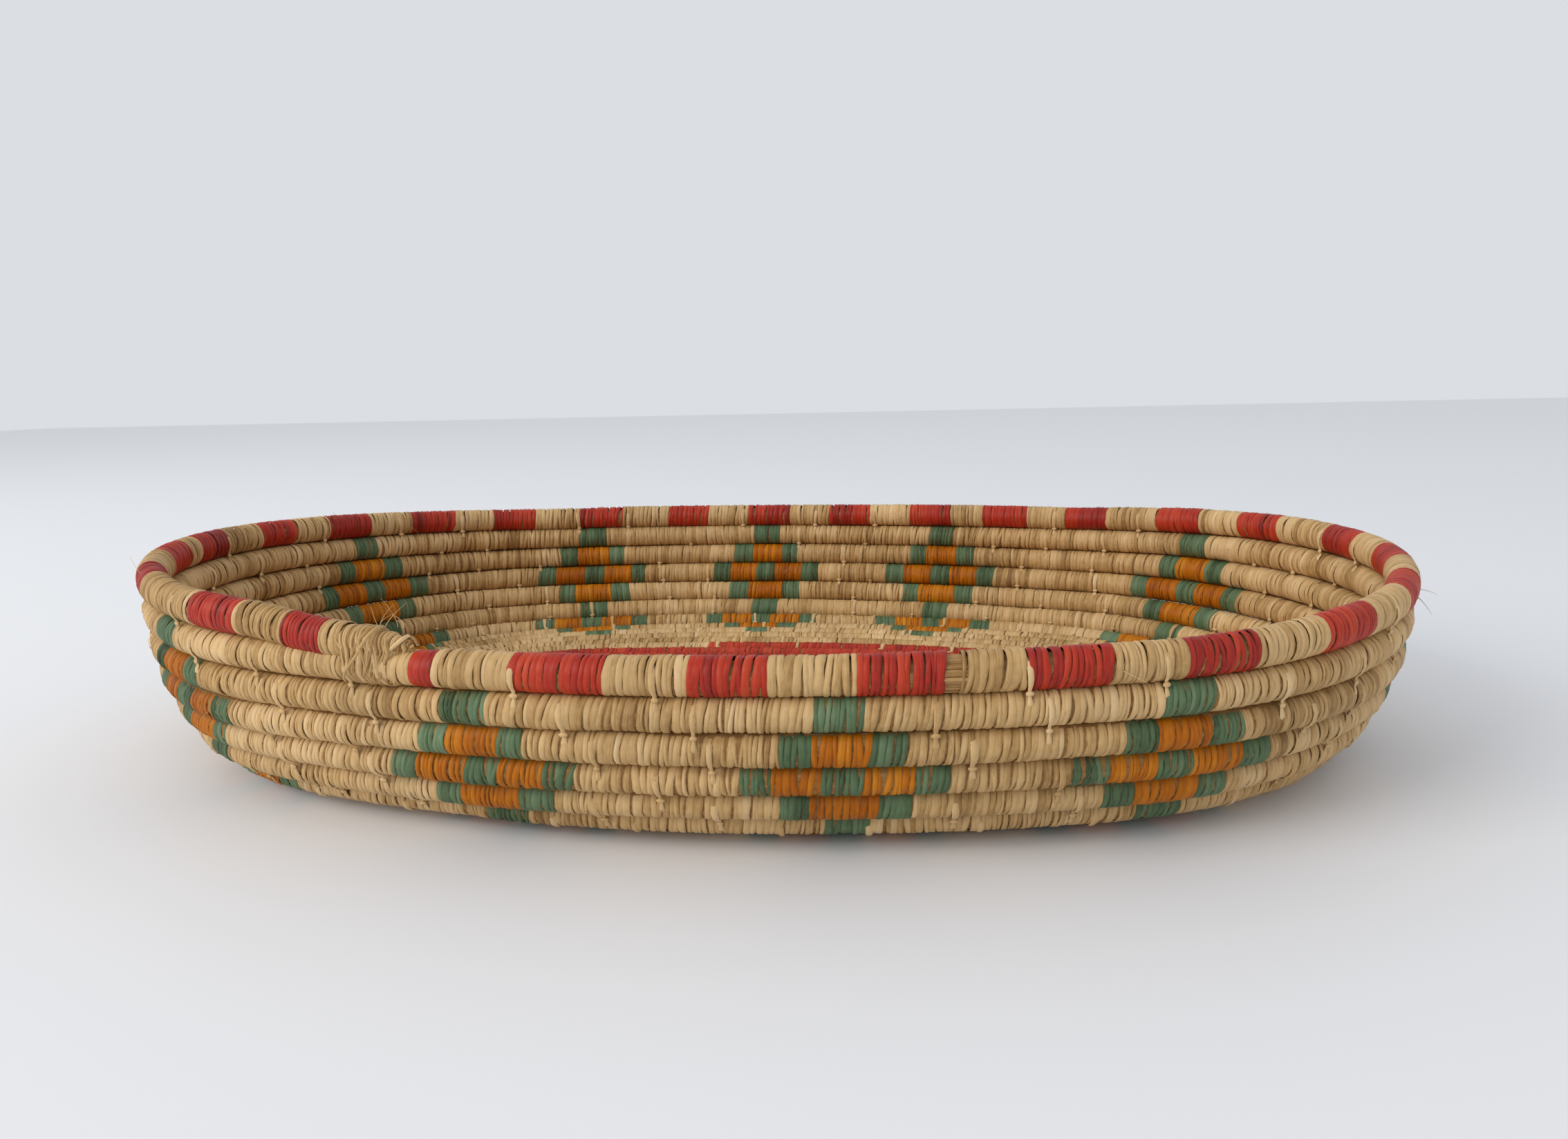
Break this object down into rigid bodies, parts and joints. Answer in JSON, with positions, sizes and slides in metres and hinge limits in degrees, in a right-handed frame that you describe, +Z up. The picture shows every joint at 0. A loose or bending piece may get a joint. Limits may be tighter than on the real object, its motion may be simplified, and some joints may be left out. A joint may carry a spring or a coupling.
{
  "type": "coiled oval basket",
  "caption": "Oval coiled straw basket tray with sloping sides, wrapped in natural, red, green and orange strips, with stepped diamond motifs.",
  "frame": {"origin": "middle of the basket's bounding box, on the floor under the base", "axes": "+X along the long side, +Y across it towards the back, +Z up out of the basket; the coil's end is at the left of the front"},
  "size_m": [0.45, 0.3023, 0.0721],
  "materials": {
    "straw_bundle": "matte",
    "straw_strips": "satin",
    "red_strips": "satin",
    "green_strips": "satin",
    "orange_strips": "satin",
    "stitch_strips": "satin",
    "whipping_strips": "satin"
  },
  "bodies": {
    "root": {"foundation_base": "straw_bundle", "foundation_base_row_1": "straw_bundle", "foundation_rim": "straw_bundle", "foundation_wall_row_1": "straw_bundle", "foundation_wall_row_2": "straw_bundle", "foundation_wall_row_3": "straw_bundle", "foundation_wall_row_4": "straw_bundle", "foundation_wall_row_5": "straw_bundle", "green_wrap_base_row_1": "green_strips", "green_wrap_base_row_2": "green_strips", "green_wrap_base_row_3": "green_strips", "green_wrap_wall_row_1": "green_strips", "green_wrap_wall_row_2": "green_strips", "green_wrap_wall_row_3": "green_strips", "green_wrap_wall_row_4": "green_strips", "green_wrap_wall_row_5": "green_strips", "orange_wrap_base_row_1": "orange_strips", "orange_wrap_base_row_2": "orange_strips", "orange_wrap_wall_row_2": "orange_strips", "orange_wrap_wall_row_3": "orange_strips", "orange_wrap_wall_row_4": "orange_strips", "red_wrap_centre_row_1": "red_strips", "red_wrap_centre_row_2": "red_strips", "red_wrap_centre_row_3": "red_strips", "red_wrap_centre_row_4": "red_strips", "red_wrap_centre_row_5": "red_strips", "red_wrap_centre_row_6": "red_strips", "red_wrap_centre_row_7": "red_strips", "red_wrap_centre_row_8": "red_strips", "red_wrap_rim": "red_strips", "rim_end_whipping": "whipping_strips", "straw_wrap_base_row_1": "straw_strips", "straw_wrap_base_row_2": "straw_strips", "straw_wrap_base_row_3": "straw_strips", "straw_wrap_base_row_4": "straw_strips", "straw_wrap_base_row_5": "straw_strips", "straw_wrap_base_row_6": "straw_strips", "straw_wrap_rim": "straw_strips", "straw_wrap_wall_row_1": "straw_strips", "straw_wrap_wall_row_2": "straw_strips", "straw_wrap_wall_row_3": "straw_strips", "straw_wrap_wall_row_4": "straw_strips", "straw_wrap_wall_row_5": "straw_strips", "tie_stitches_base_1": "stitch_strips", "tie_stitches_base_10": "red_strips", "tie_stitches_base_11": "red_strips", "tie_stitches_base_12": "red_strips", "tie_stitches_base_2": "stitch_strips", "tie_stitches_base_3": "stitch_strips", "tie_stitches_base_4": "stitch_strips", "tie_stitches_base_5": "stitch_strips", "tie_stitches_base_6": "stitch_strips", "tie_stitches_base_7": "stitch_strips", "tie_stitches_base_8": "red_strips", "tie_stitches_base_9": "red_strips", "tie_stitches_wall_1": "stitch_strips", "tie_stitches_wall_2": "stitch_strips", "tie_stitches_wall_3": "stitch_strips", "tie_stitches_wall_4": "stitch_strips", "tie_stitches_wall_5": "stitch_strips"}
  },
  "joints": []
}
